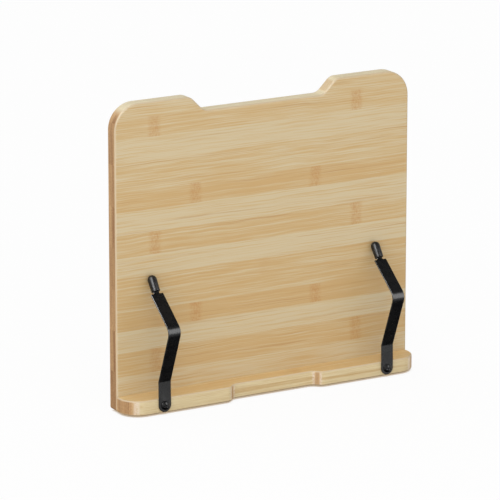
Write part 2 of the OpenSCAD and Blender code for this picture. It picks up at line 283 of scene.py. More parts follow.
def cut_flat(bm, point, normal):
    """Cuts away what lies beyond a plane, and closes the cut with one flat face."""
    everything = bm.verts[:] + bm.edges[:] + bm.faces[:]
    cut = bmesh.ops.bisect_plane(
        bm, geom=everything, dist=TOUCH, plane_co=point, plane_no=normal, clear_outer=True
    )
    rim = [part for part in cut["geom_cut"] if isinstance(part, bmesh.types.BMEdge)]
    bmesh.ops.edgeloop_fill(bm, edges=rim)


def edge_steps(depth, radius, segments=5):
    """(inset, depth) of each ring of a plate with rounded edges and a support ring inside."""
    turn = np.linspace(0, math.pi / 2, segments + 1)
    front = [(radius * (1 - math.sin(t)), radius * (1 - math.cos(t))) for t in turn]
    front = [(radius * 1.35, 0.0)] + front
    return front + [(i, depth - d) for i, d in reversed(front)]


def plate(outline, depth, radius, place):
    """A plate with rounded edges; place turns (a, b, t) into a point of the frame."""
    outline = counter_clockwise(outline)
    rings = []
    for inward, t in edge_steps(depth, radius):
        rings.append([place(a, b, t) for a, b in inset(outline, inward)])
    bm = bmesh.new()
    skin(bm, rings)
    return bm


def basis(origin, axis, turn=0.0):
    """Matrix that puts local +Z along axis at origin."""
    rotation = Vector(axis).to_track_quat("Z", "Y").to_matrix().to_4x4()
    return Matrix.Translation(origin) @ rotation @ Matrix.Rotation(turn, 4, "Z")


def lathe(bm, profile, matrix, closed=False):
    """Turns a (radius, height) profile about local Z. An open profile gets flat ends."""
    rings = []
    for radius, height in profile:
        ring = []
        for i in range(1 if radius < TOUCH else TURNED_SIDES):
            a = 2 * math.pi * i / TURNED_SIDES
            point = Vector((radius * math.cos(a), radius * math.sin(a), height))
            ring.append(bm.verts.new(matrix @ point))
        rings.append(ring)
    following = rings[1:] + rings[:1] if closed else rings[1:]
    for low, high in zip(rings, following):
        join_rings(bm, low, high)
    if not closed:
        for ring in (rings[0], rings[-1]):
            if len(ring) > 1:
                bm.faces.new(ring)


def subtract(piece, bm, shortest=0.0):
    """Cuts a bmesh out of a piece, and joins the ends of edges that are too short."""
    cutter = new_piece("cutter", bm, piece.data.materials[0])
    modifier = piece.modifiers.new("cut", "BOOLEAN")
    modifier.operation = "DIFFERENCE"
    modifier.solver = "EXACT"
    modifier.object = cutter
    depsgraph = bpy.context.evaluated_depsgraph_get()
    made = bpy.data.meshes.new_from_object(piece.evaluated_get(depsgraph))
    made.name = piece.name
    if shortest:
        bm = bmesh.new()
        bm.from_mesh(made)
        bmesh.ops.dissolve_degenerate(bm, dist=shortest, edges=bm.edges)
        bm.to_mesh(made)
        bm.free()
    made.set_sharp_from_angle(angle=CREASE)
    piece.modifiers.clear()
    piece.data = made
    bpy.data.objects.remove(cutter)


def bore(piece, centres, axis):
    """Opens a screw's hole through a piece at each centre."""
    radius = SHANK + SLACK
    profile = [(0, -THROUGH), (radius, -THROUGH), (radius, THROUGH), (0, THROUGH)]
    bm = bmesh.new()
    for centre in centres:
        lathe(bm, profile, basis(centre, axis))
    subtract(piece, bm)


def soften(piece, width):
    """Fine round-over on every sharp edge of a piece."""
    bevel = piece.modifiers.new("edges", "BEVEL")
    bevel.width = width
    bevel.segments = 2
    bevel.limit_method = "ANGLE"
    bevel.angle_limit = math.radians(40)
    bevel.harden_normals = True


# -------- node trees

class Nodes:
    """Makes shader nodes. A value is a number, a tuple or a node's socket."""

    def __init__(self, tree, output):
        self.tree = tree
        tree.nodes.clear()
        self.out = self.node(output)

    def node(self, kind, inputs=None, **settings):
        made = self.tree.nodes.new("ShaderNode" + kind)
        for key, value in settings.items():
            setattr(made, key, value)
        for key, value in (inputs or {}).items():
            self.plug(made.inputs[key], value)
        return made

    def plug(self, socket, value):
        if isinstance(value, bpy.types.NodeSocket):
            self.tree.links.new(value, socket)
        else:
            socket.default_value = value

    def first_of(self, kind, inputs=None, **settings):
        """The first output of a new node."""
        return self.node(kind, inputs, **settings).outputs[0]

    def math(self, operation, a, b=0.0, c=0.0):
        return self.first_of("Math", {0: a, 1: b, 2: c}, operation=operation)

    def product(self, first, *others):
        for other in others:
            first = self.math("MULTIPLY", first, other)
        return first

    def total(self, first, *others):
        for other in others:
            first = self.math("ADD", first, other)
        return first

    def centred(self, value, amount):
        """A value around a half, moved to around zero and scaled."""
        return self.product(self.math("SUBTRACT", value, 0.5), amount)

    def mix(self, factor, a, b):
        return self.node("Mix", {0: factor, 6: a, 7: b}, data_type="RGBA").outputs[2]

    def blend(self, factor, a, b):
        return self.first_of("Mix", {0: factor, 2: a, 3: b}, data_type="FLOAT")

    def mix_light(self, factor, a, b):
        return self.first_of("MixShader", {0: factor, 1: a, 2: b})

    def step(self, value, low, high, to_low=0.0, to_high=1.0):
        """Smooth step from low to high."""
        inputs = {0: value, 1: low, 2: high, 3: to_low, 4: to_high}
        return self.first_of("MapRange", inputs, interpolation_type="SMOOTHSTEP")

    def vector(self, x, y, z):
        return self.first_of("CombineXYZ", {0: x, 1: y, 2: z})

    def scaled(self, vector, factor):
        return self.first_of("VectorMath", {0: vector, "Scale": factor}, operation="SCALE")

    def split(self, vector):
        return list(self.node("SeparateXYZ", {0: vector}).outputs)

    def noise(self, vector, seed=0.0, detail=2.0, rough=0.5, distortion=0.0):
        inputs = {"Vector": vector, "W": seed, "Scale": 1.0, "Detail": detail}
        inputs.update({"Roughness": rough, "Distortion": distortion})
        return self.first_of("TexNoise", inputs, noise_dimensions="4D")

    def ramp(self, value, stops, interpolation="LINEAR"):
        """Colour ramp. Each stop is (place, colour)."""
        made = self.node("ValToRGB", {0: value})
        made.color_ramp.interpolation = interpolation
        elements = made.color_ramp.elements
        while len(elements) < len(stops):
            elements.new(1.0)
        for element, (place, colour) in zip(elements, stops):
            element.position = place
            element.color = colour
        return made.outputs[0]


class Shader(Nodes):
    """A material of its own, made of nodes."""

    def __init__(self, name):
        self.material = bpy.data.materials.new(name)
        self.material.use_nodes = True
        super().__init__(self.material.node_tree, "OutputMaterial")

    def position(self):
        """Object-space place in millimetres, and object-space normal."""
        coords = self.node("TexCoord")
        return self.scaled(coords.outputs["Object"], 1 / MM), coords.outputs["Normal"]

    def finish(self, colour, roughness, height, bump, distance, shine):
        """Surface with this colour and roughness, and with relief from height."""
        relief = {"Height": height, "Strength": bump, "Distance": distance}
        inputs = {"Base Color": colour, "Roughness": roughness, "Specular IOR Level": shine}
        inputs["Normal"] = self.first_of("Bump", relief)
        self.plug(self.out.inputs[0], self.first_of("BsdfPrincipled", inputs))
        return self.material


def rgb(r, g, b):
    """Scene-linear colour from 0-255 display values."""
    def linear(c):
        c /= 255
        return c / 12.92 if c <= 0.04045 else ((c + 0.055) / 1.055) ** 2.4
    return (linear(r), linear(g), linear(b), 1.0)


# -------- bamboo

# Knuckles of a lamella: their place and spacing along the grain in mm, and their strength
PLAIN = (0, 1, 0.0)
OUTER_KNUCKLES = (105, 227, 1.0)
INNER_KNUCKLES = (58, 135, 1.0)

# Lamellae of a panel, one after the other: the far edge in mm, a tone from light 0 to
# dark 1, and the knuckles
BOARD_PANEL = [
    (14, 0.55, PLAIN), (34, 0.25, PLAIN), (57, 0.80, (105, 227, 0.9)), (78.5, 0.15, PLAIN),
    (98, 1.00, INNER_KNUCKLES), (115, 0.62, PLAIN), (131.5, 0.72, (0, 227, 0.2)), (152.5, 0.12, PLAIN),
    (175, 0.62, OUTER_KNUCKLES), (197.5, 0.08, PLAIN), (217, 0.88, INNER_KNUCKLES), (231.5, 0.42, PLAIN),
    (246, 0.50, PLAIN), (267.5, 0.10, PLAIN), (288, 0.62, OUTER_KNUCKLES), (303, 0.45, PLAIN),
]
LEDGE_PANEL = [(25, 0.9, (30, 227, 0.35)), (50, 0.7, PLAIN)]
LEG_PANEL = [
    (22, 0.35, PLAIN), (41, 0.7, (60, 227, 1.0)), (60, 0.15, PLAIN),
    (78, 0.6, (150, 227, 1.0)), (90, 0.3, PLAIN),
]
LONGEST_SPACING = 250.0
KNUCKLE_OUTER = 8.75  # mm from a knuckle's middle, where it begins to show
KNUCKLE_INNER = 2.75  # and where it is complete
SEEDS = 60.0  # the lamellae's noise seeds are spread over this range

# Noise scales per mm along the grain, across it and through the thickness
SWAY = (0.03, 0.0, 0.0)
BEND = (0.018, 0.0, 0.0)
DRIFT = (0.015, 0.05, 0.0)
RAG = (0.1, 0.45, 0.0)
SPECKLE = (0.62, 0.36, 0.36)
BROAD_PLIES = (0.005, 0.10, 0.30)
FINE_PLIES = (0.02, 0.5, 1.5)

# Blocks of streaks on cut ends, in mm, and the number of pores per mm
BLOCK_HEIGHT = 41.0
BLOCK_WIDTH = 5.2
PORES = 1.5

# Colours of a panel's faces, from light to dark, and of its long edges
BOARD_FACE = (rgb(212, 193, 155), rgb(208, 181, 134), rgb(204, 168, 113))
BOARD_EDGE = (rgb(232, 219, 186), rgb(216, 196, 152))
# The ledge's face colours are its wood tone lightened with painted light, making up for the shade the
# board casts on the ledge's top
LEDGE_FACE = (rgb(231, 211, 168), rgb(227, 200, 149), rgb(222, 187, 130))
LEDGE_EDGE = (rgb(224, 207, 165), rgb(196, 162, 108))
THREAD = rgb(184, 134, 76)
KNUCKLE = rgb(190, 132, 70)
# Painted highlight on the round-overs between the flat faces and the long edges
FILLET_HIGHLIGHT = rgb(211, 191, 158)
SLANT = rgb(233, 216, 196)
END_LIGHT = rgb(196, 156, 108)
END_DARK = rgb(130, 86, 46)

# Looks of cut ends: they begin and are complete where the normal has these parts along the
# grain, with this tone at their darkest, and with this much paleness on slanting cuts
BOARD_ENDS = (0.66, 0.98, 0.50, 0.0)
LEDGE_ENDS = (0.46, 0.92, 0.36, 0.85)


class Bamboo(Shader):
    """Laminated bamboo. grain, across and rise are the axis numbers along the fibres, across
    the lamellae and through the thickness. The across axis starts at shift, in mm."""

    def __init__(self, name, grain, across, rise, shift, panel, face, edge, ends):
        super().__init__(name)
        place, normal = map(self.split, self.position())
        self.u = place[grain]
        self.v = self.math("SUBTRACT", place[across], shift)
        self.w = place[rise]
        # Cut ends show bands that follow these two directions
        self.end_over, self.end_along = place[1:] if grain == 0 else place[:2]
        self.face, self.edge = face, edge
        self.first, self.last, self.deepest, self.pale = ends
        self.endwise = self.math("ABSOLUTE", normal[grain])
        self.flat = self.math("ABSOLUTE", normal[rise])
        self.upward = normal[2]
        self.lamellae(panel)

    def grid(self, scales, across=None):
        """Noise coordinates: the places along, across and through, each with its scale."""
        places = zip((self.u, across or self.v, self.w), scales)
        return self.vector(*[self.product(place, scale) for place, scale in places])

    def end_grid(self, over, along):
        return self.vector(self.product(self.end_over, over), self.product(self.end_along, along), 0.0)

    def lamellae(self, panel):
        """Two ramps with a constant step for each lamella: its tone and seed, and its knuckles."""
        whole = panel[-1][0]
        looks, knuckles = [], []
        start = 0.0
        for i, (top, tone, (knuckle, spacing, strength)) in enumerate(panel):
            seed = (i * 0.618) % 1
            looks.append((start / whole, (tone, seed, 0.0, 1.0)))
            pattern = (knuckle / LONGEST_SPACING, spacing / LONGEST_SPACING, strength, 1.0)
            knuckles.append((start / whole, pattern))
            start = top
        wavering = self.noise(self.grid(SWAY), 1.0, 1.0)
        height = self.total(self.v, self.centred(wavering, 1.2))
        height = self.math("DIVIDE", height, whole)
        self.tone, seed, _ = self.steps(height, looks)
        self.seed = self.product(seed, SEEDS)
        knuckle, spacing, self.strength = self.steps(height, knuckles)
        self.knuckle_at = self.product(knuckle, LONGEST_SPACING)
        self.spacing = self.product(spacing, LONGEST_SPACING)

    def steps(self, value, stops):
        """Three values that each change in steps."""
        colour = self.ramp(value, stops, "CONSTANT")
        return self.node("SeparateColor", {0: colour}).outputs

    def fibres(self, along, over, detail, rough=0.55):
        return self.noise(self.grid((along, over, over), self.bent), self.seed, detail, rough)

    def face_colour(self):
        """Soft bands, streaks and hairs along the grain, and darker threads between them."""
        waver = self.noise(self.grid(BEND), self.seed, 2.0)
        self.bent = self.total(self.v, self.centred(waver, 4.0))
        bands = self.fibres(0.003, 0.16, 1.5)
        self.streaks = self.fibres(0.008, 0.62, 4.0, 0.68)
        self.hairs = self.fibres(0.014, 1.1, 2.0, 0.75)
        drift = self.noise(self.grid(DRIFT), self.seed, 1.0)
        varied = self.total(
            self.tone, self.centred(bands, 0.6), self.centred(self.streaks, 1.9),
            self.centred(self.hairs, 3.4), self.centred(drift, 0.3),
        )
        light, middle, dark = self.face
        colour = self.ramp(varied, [(0.0, light), (0.5, middle), (1.0, dark)])
        threads = self.step(self.fibres(0.006, 0.45, 3.0, 0.6), 0.585, 0.66)
        threads = self.product(threads, self.step(self.hairs, 0.3, 0.6, 0.05, 0.42))
        return self.mix(threads, colour, THREAD)

    def knuckles(self, colour):
        """Patches with ragged ends and a speckled skin."""
        rag = self.noise(self.grid(RAG), self.seed, 2.0)
        offset = self.math("SUBTRACT", self.u, self.knuckle_at)
        offset = self.total(offset, self.centred(rag, 6.0))
        half, minus_half = self.product(self.spacing, 0.5), self.product(self.spacing, -0.5)
        reach = self.math("ABSOLUTE", self.math("WRAP", offset, half, minus_half))
        patch = self.step(reach, KNUCKLE_OUTER, KNUCKLE_INNER)
        patch = self.product(patch, self.strength)
        speckle = self.noise(self.grid(SPECKLE), self.seed, 3.0, 0.7, 0.6)
        self.speckled = self.product(patch, self.step(speckle, 0.36, 0.66, 0.10, 0.54))
        return self.mix(self.speckled, colour, KNUCKLE)

    def edge_colour(self):
        """Long edges: pale, with a few soft lines where the plies meet."""
        broad = self.step(self.noise(self.grid(BROAD_PLIES), 3.7, 1.0), 0.54, 0.74)
        fine = self.noise(self.grid(FINE_PLIES), 9.1, 3.0, 0.7)
        tone = self.total(self.product(broad, 0.55), self.centred(fine, 2.6), 0.2)
        light, dark = self.edge
        return self.ramp(tone, [(0.0, light), (1.0, dark)])

    def end_colour(self):
        """Cut ends: blocks of darker and lighter streaks with fine pores."""
        row = self.math("FLOOR", self.math("DIVIDE", self.end_along, BLOCK_HEIGHT))
        column = self.math("FLOOR", self.math("DIVIDE", self.end_over, BLOCK_WIDTH))
        block = self.vector(row, column, 0.5)
        block = self.first_of("TexWhiteNoise", {"Vector": block}, noise_dimensions="3D")
        streak = self.noise(self.end_grid(0.55, 0.02), self.product(block, 40.0), 3.0, 0.65)
        self.grit = self.noise(self.end_grid(0.9, 0.5), 2.0, 3.0, 0.7)
        spot = self.vector(self.u, self.v, self.w)
        dots = self.node("TexVoronoi", {"Vector": spot, "Scale": PORES}).outputs["Distance"]
        self.pores = self.step(dots, 0.12, 0.38)
        turned = self.step(self.endwise, self.first, self.last)
        tone = self.total(
            self.blend(turned, -0.12, self.deepest),
            self.product(self.centred(streak, 1.6), self.blend(turned, 0.3, 1.0)),
            self.centred(block, 0.45), self.centred(self.grit, 1.3), self.centred(self.pores, -0.25),
        )
        return self.ramp(tone, [(0.0, END_LIGHT), (1.0, END_DARK)])

    def slanting(self):
        """Where fibres are cut at a slant. They are paler there, in specks."""
        band = self.product(self.step(self.endwise, 0.34, 0.46), self.step(self.endwise, 0.72, 0.54))
        return self.product(band, self.step(self.grit, 0.36, 0.60, 0.15, 1.0), self.pale)

    def made(self):
        colour = self.knuckles(self.face_colour())
        colour = self.mix(self.step(self.flat, 0.70, 0.45), colour, self.edge_colour())
        cut = self.end_colour()
        ragged = self.total(self.endwise, self.centred(self.grit, 0.16))
        end = self.step(ragged, self.first - 0.11, self.last - 0.15)
        colour = self.mix(end, colour, cut)
        colour = self.mix(self.slanting(), colour, SLANT)
        # Painted highlight: the round-overs between faces and edges are made paler
        fillet_highlight = self.product(self.step(self.flat, 0.04, 0.35), self.step(self.flat, 0.99, 0.86))
        colour = self.mix(self.product(fillet_highlight, 0.80), colour, FILLET_HIGHLIGHT)
        # Painted shade: faces that look down are darkened towards the end grain's dark colour
        underside_shade = self.step(self.upward, -0.15, -0.60, 0.0, 0.62)
        colour = self.mix(underside_shade, colour, END_DARK)
        relief = self.total(
            self.product(self.streaks, 0.6), self.product(self.hairs, 0.5),
            self.product(self.speckled, -0.4), self.product(self.pores, end, 0.6),
        )
        roughness = self.step(self.streaks, 0.3, 0.7, 0.46, 0.60)
        roughness = self.blend(end, roughness, 0.72)
        return self.finish(colour, roughness, relief, 0.35, 0.06 * MM, 0.32)


# -------- steel, rubber, nylon

def black(level, blue):
    return (level, level, blue, 1.0)


def lighter(colour, factor):
    return [factor * c for c in colour[:3]] + [1.0]


def painted_steel(name, base, rough, rub_and_glint, bare_and_glint_level=0.10, shine=0.5):
    """Black baked paint: fine orange peel, faint cloudiness, and lighter sharp edges, partly rubbed
    paint and partly painted highlight.
    """
    s = Shader(name)
    place, _ = s.position()
    peel = s.noise(place, 1.0, 2.0, 0.5)
    cloud = s.noise(s.scaled(place, 0.12), 5.0, 3.0, 0.6)
    pointed = s.node("NewGeometry").outputs["Pointiness"]
    # Lighter sharp edges: rubbed paint, and painted highlight that is strongest on the screws
    rubbed_and_glinting = s.product(s.step(pointed, 0.52, 0.60), rub_and_glint, s.step(cloud, 0.35, 0.65))
    colour = s.mix(s.step(cloud, 0.3, 0.7), base, lighter(base, 1.25))
    colour = s.mix(rubbed_and_glinting, colour, black(bare_and_glint_level, 1.05 * bare_and_glint_level))
    roughness = s.step(cloud, 0.3, 0.7, rough - 0.02, rough + 0.03)
    return s.finish(colour, roughness, peel, 0.05, 0.01 * MM, shine)


def rubber(name, base, rough):
    """Moulded rubber: a matt skin with fine grain and a little dust in it."""
    s = Shader(name)
    place, _ = s.position()
    grain = s.noise(s.scaled(place, 3.0), 2.0, 3.0, 0.6)
    patch = s.noise(s.scaled(place, 0.25), 7.0, 3.0, 0.6)
    colour = s.mix(s.step(patch, 0.35, 0.7), base, lighter(base, 1.5))
    roughness = s.step(patch, 0.3, 0.7, rough - 0.05, rough + 0.06)
    return s.finish(colour, roughness, grain, 0.15, 0.03 * MM, 0.34)


board_low, board_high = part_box("board")
ledge_low, ledge_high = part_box("ledge")
leg_low, leg_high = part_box("leg")

BAMBOO = Bamboo(
    "bamboo_board", 0, 2, 1, board_low.z / MM, BOARD_PANEL, BOARD_FACE, BOARD_EDGE, BOARD_ENDS
).made()
BAMBOO_LEDGE = Bamboo(
    "bamboo_ledge", 0, 1, 2, ledge_low.y / MM, LEDGE_PANEL, LEDGE_FACE, LEDGE_EDGE, LEDGE_ENDS
).made()
BAMBOO_LEG = Bamboo(
    "bamboo_leg", 2, 0, 1, leg_low.x / MM, LEG_PANEL, BOARD_FACE, BOARD_EDGE, BOARD_ENDS
).made()
SPRING_STEEL = painted_steel("spring_steel_black", black(0.004, 0.0042), rough=0.27, rub_and_glint=0.5)
SHEET_STEEL = painted_steel("sheet_steel_black", black(0.010, 0.011), rough=0.40, rub_and_glint=0.4)
# On the screws the light edges of the head and the recess are mostly painted highlight
SCREW_STEEL = painted_steel("screw_black", black(0.002, 0.0021), 0.14, 0.9, bare_and_glint_level=0.30, shine=0.36)
TIP_RUBBER = rubber("tip_rubber", black(0.008, 0.0085), rough=0.30)
FOOT_RUBBER = rubber("foot_rubber", black(0.018, 0.019), rough=0.68)
NYLON = rubber("black_nylon", black(0.015, 0.016), rough=0.5)


def make_ring(name, node, body, along, shank, edge, material, slot):
    """A washer or a sleeve round a shank. It fills its CAD node's box along this axis."""
    low, high, centre = span(node)
    centre[along] = low[along]
    length = high[along] - low[along]
    inner, outer = shank + SLACK, (high - low)[0 if along else 2] / 2
    section = [(inner, 0), (outer, 0), (outer, length), (inner, length)]
    if edge:
        section = rounded(section, [edge] * 4, math.radians(30))
    axis = Vector()
    axis[along] = 1
    bm = bmesh.new()
    lathe(bm, section, basis(centre, axis), closed=True)
    finish_piece(new_piece(name, bm, material), body, slot, node)


# -------- bamboo pieces

def screw_places(node):
    """Centres of the separate screws in a group node. They stand apart in X and Z."""
    groups = []
    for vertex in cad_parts[node].data.vertices:
        x, _, z = vertex.co
        near = [g for g in groups if math.hypot(x - g[0][0], z - g[0][2]) < SCREWS_APART]
        if not near:
            near = [[]]
            groups += near
        near[0].append(tuple(vertex.co))
    made = []
    for points in map(np.array, groups):
        made.append(Vector((points.min(0) + points.max(0)) / 2))
    return sorted(made, key=lambda c: (round(c.x, 4), round(c.z, 4)))


def countersink_cutter():
    """Cones that open the board's back for the ledge screws' heads."""
    hole = 1.04 * SHANK
    hole_end = -9 * MM
    cone_start = -2.1 * MM
    mouth = 4.6 * MM
    above = 0.45 * MM
    profile = [(0, hole_end), (hole, hole_end), (hole, cone_start), (mouth, above), (0, above)]
    bm = bmesh.new()
    for centre in screw_places("ledge_screws"):
        lathe(bm, profile, basis((centre.x, board_high.y, centre.z), (0, 1, 0)))
    return bm


def make_board():
    side = (board_high.x - board_low.x) / 2
    top, bottom = board_high.z, board_low.z
    depth = board_high.y - board_low.y
    half = [
        (side, bottom), (side, top),
        (NOTCH_WIDTH / 2, top), (NOTCH_WIDTH / 2 - NOTCH_DEPTH, top - NOTCH_DEPTH),
    ]
    outline = mirrored(half, (SMALL_CORNER, BOARD_CORNER, NOTCH_BLEND, NOTCH_BLEND))
    bm = plate(outline, depth, WOOD_EDGE, lambda a, b, t: (a, board_low.y + t, b))
    piece = new_piece("back_board", bm, BAMBOO)
    subtract(piece, countersink_cutter())
    finish_piece(piece, "stand", "bamboo", "board")


def make_ledge():
    side = (ledge_high.x - ledge_low.x) / 2
    front, back = ledge_low.y, ledge_high.y
    depth = ledge_high.z - ledge_low.z
    half = [
        (side, back + 2 * WOOD_EDGE), (side, front),
        (RECESS_WIDTH / 2, front), (RECESS_WIDTH / 2 - RECESS_DEPTH, front + RECESS_DEPTH),
    ]
    outline = mirrored(half, (SMALL_CORNER, LEDGE_CORNER, RECESS_BLEND, RECESS_BLEND))
    bm = plate(outline, depth, LEDGE_EDGE_RADIUS, lambda a, b, t: (a, b, ledge_low.z + t))
    # The rounded back is cut off flush, so that the ledge meets the board along a sharp line
    cut_flat(bm, (0, back, 0), (0, 1, 0))
    piece = new_piece("book_ledge", bm, BAMBOO_LEDGE)
    finish_piece(piece, "stand", "bamboo_ledge", "ledge")


def flared_oval_cutter(centre, depth):
    """Cutter along Y whose mouths flare, so that the hole it leaves has rounded edges."""
    shape = counter_clockwise(oval(GRIP_HOLE_WIDTH, GRIP_HOLE_HEIGHT))
    steps = [(-inward, t) for inward, t in edge_steps(depth, GRIP_HOLE_EDGE)[1:-1]]
    widest = steps[0][0]
    over = 0.6 * MM
    rings = []
    for outward, t in [(widest, -over)] + steps + [(widest, depth + over)]:
        outline = inset(shape, outward)
        rings.append([(centre.x + a, centre.y - depth / 2 + t, centre.z + b) for a, b in outline])
    bm = bmesh.new()
    skin(bm, rings)
    return bm


def make_leg():
    thickness = leg_high.y - leg_low.y
    middle = (leg_high.y + leg_low.y) / 2
    width = leg_high.x - leg_low.x
    half = [(thickness / 2, leg_low.z - 2 * WOOD_EDGE), (thickness / 2, leg_high.z)]
    outline = mirrored(half, (SMALL_CORNER, thickness / 2 - 0.01 * MM))
    bm = plate(outline, width, WOOD_EDGE, lambda a, b, t: (leg_low.x + t, middle + a, b))
    # The rounded lower end is cut off flush, so that the leg meets its rubber foot
    cut_flat(bm, (0, 0, leg_low.z), (0, 0, -1))
    piece = new_piece("rear_leg", bm, BAMBOO_LEG)
    hole = Vector((0, middle, leg_low.z + GRIP_HOLE_UP))
    subtract(piece, flared_oval_cutter(hole, thickness))
    finish_piece(piece, "leg", "bamboo_leg", "leg")


# -------- rubber feet

def make_leg_foot():
    low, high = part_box("leg_foot")
    radius = (high.y - low.y) / 2
    middle = (high.y + low.y) / 2
    turn = np.linspace(math.pi, 2 * math.pi, 25)
    outline = np.array([(radius * math.cos(t), radius * math.sin(t)) for t in turn])
    bm = plate(outline, high.x - low.x, FOOT_EDGE, lambda a, b, t: (low.x + t, middle + a, high.z + b))
    piece = new_piece("leg_foot_strip", bm, FOOT_RUBBER)
    finish_piece(piece, "leg", "foot_rubber", "leg_foot")


def make_foot_pads():
    low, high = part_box("foot_pads")
    profile = fillet([(0, 0), (PAD_RADIUS, 0), (PAD_RADIUS, high.z), (0, high.z)], PAD_EDGE)
    bm = bmesh.new()
    for x in (low.x + PAD_RADIUS, high.x - PAD_RADIUS):
        for y in (low.y + PAD_RADIUS, high.y - PAD_RADIUS):
            lathe(bm, profile, Matrix.Translation((x, y, 0)))
    piece = new_piece("rubber_pads", bm, FOOT_RUBBER)
    finish_piece(piece, "stand", "foot_rubber", "foot_pads")


# -------- fasteners

def dome_profile(radius, height):
    """Pan head, from its seat to its crown."""
    rim = height * 0.3
    rise = height - rim
    big = (radius * radius + rise * rise) / (2 * rise)
    edge = math.asin(radius / big)
    crown = []
    for i in range(9):
        t = edge * (1 - i / 8)
        crown.append((big * math.sin(t), height - big + big * math.cos(t)))
    return [(radius - HEAD_EDGE, 0), (radius, HEAD_EDGE)] + crown


def add_cross(bm, radius, matrix, top, depth):
    """Tapered cross that cuts a head's recess."""
    arm = radius * 0.22
    over = 0.3 * MM
    narrowed = 0.45
    shape = []
    for k in range(4):
        for x, y in ((radius, -arm), (radius, arm), (arm, arm)):
            c, s = math.cos(k * math.pi / 2), math.sin(k * math.pi / 2)
            shape.append((x * c - y * s, x * s + y * c))
    rings = []
    for size, height in ((narrowed, top - depth), (1.0, top + over)):
        rings.append([matrix @ Vector((x * size, y * size, height)) for x, y in shape])
    skin(bm, rings)


def make_screws(name, node, body, seats, axis, sizes, shoulder=None):
    """Pan-head screws with a cross recess. Each seat is the middle of a head's seat."""
    head_radius, head_height, length = sizes
    shank = [(0, -length), (SHANK, POINT - length)]
    if shoulder:
        shank += [(SHANK, -shoulder), (PIVOT_SHANK, -shoulder), (PIVOT_SHANK, 0)]
    else:
        shank += [(SHANK, 0)]
    bm = bmesh.new()
    crosses = bmesh.new()
    for i, seat in enumerate(seats):
        matrix = basis(seat, axis, 0.4 + 1.1 * i)
        lathe(bm, shank + dome_profile(head_radius, head_height), matrix)
        add_cross(crosses, head_radius * 0.68, matrix, head_height, head_height * 0.75)
    piece = new_piece(name, bm, SCREW_STEEL)
    subtract(piece, crosses, SHORTEST_EDGE)
    soften(piece, RECESS_EDGE)
    finish_piece(piece, body, "black_screw", node)


def make_ledge_screws():
    """Countersunk screws, with their heads just under the board's back."""
    wide = 2 * SHANK
    profile = [
        (0, -LEDGE_SCREW_LENGTH), (SHANK, POINT - LEDGE_SCREW_LENGTH), (SHANK, -SHANK),
        (wide - 0.05 * MM, -0.05 * MM), (wide - HEAD_EDGE, 0),
    ]
    bm = bmesh.new()
    crosses = bmesh.new()
    for i, centre in enumerate(screw_places("ledge_screws")):
        matrix = basis((centre.x, board_high.y - SUNK, centre.z), (0, 1, 0), 0.3 + i)
        lathe(bm, profile, matrix)
        add_cross(crosses, SHANK * 1.15, matrix, 0, 1.5 * MM)
    piece = new_piece("ledge_screw_set", bm, SCREW_STEEL)
    subtract(piece, crosses)
    finish_piece(piece, "stand", "black_screw", "ledge_screws")


def make_clip_screws():
    for side in SIDES:
        node = side + "_clip_screw"
        low, _, centre = span(node)
        seat = (centre.x, low.y + CLIP_SCREW[1], centre.z)
        make_screws(side + "_clip_pivot_screw", node, "stand", [seat], (0, -1, 0), CLIP_SCREW)


def make_rail_screws():
    node = "rail_screws"
    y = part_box(node)[1].y - RAIL_SCREW[1]
    seats = [(centre.x, y, centre.z) for centre in screw_places(node)]
    make_screws("rail_screw_set", node, "stand", seats, (0, 1, 0), RAIL_SCREW)


def make_pivot_screws():
    """Screws in the leg's edges: its own hinge, and the stay arms' upper pivots."""
    for side, sign in (("left", -1), ("right", 1)):
        for kind, head, shoulder in (("leg", LEG_HEAD, LEG_SHOULDER), ("stay", STAY_HEAD, None)):
            node = f"{side}_{kind}_screw"
            low, high, centre = span(node)
            outer = high.x if sign > 0 else low.x
            seat = (outer - sign * head[1], centre.y, centre.z)
            sizes = (*head, high.x - low.x - head[1])
            name = f"{side}_{kind}_pivot_screw"
            make_screws(name, node, "leg", [seat], (sign, 0, 0), sizes, shoulder)


# -------- page clips

class BentPath:
    """The strip's middle line in Y and Z, measured by its length from the pivot screw."""

    def __init__(self, points, radii):
        points = [np.array(p, float) for p in points]
        line = [points[0]]
        for i, radius in enumerate(radii, 1):
            line += corner_arc(points[i - 1], points[i], points[i + 1], radius, math.radians(4))
        line.append(points[-1])
        self.line = np.array(line)
        legs = np.diff(self.line, axis=0)
        sizes = np.linalg.norm(legs, axis=1)
        self.stations = np.concatenate([[0], np.cumsum(sizes)])
        angles = np.unwrap(np.arctan2(legs[:, 1], legs[:, 0]))
        self.angles = np.concatenate([[angles[0]], (angles[1:] + angles[:-1]) / 2, [angles[-1]]])

    def place(self, along, away):
        """Point at this length, moved away to the strip's front."""
        y = np.interp(along, self.stations, self.line[:, 0])
        z = np.interp(along, self.stations, self.line[:, 1])
        if along < 0:
            z += along
        angle = np.interp(along, self.stations, self.angles)
        return y - away * math.sin(angle), z + away * math.cos(angle)


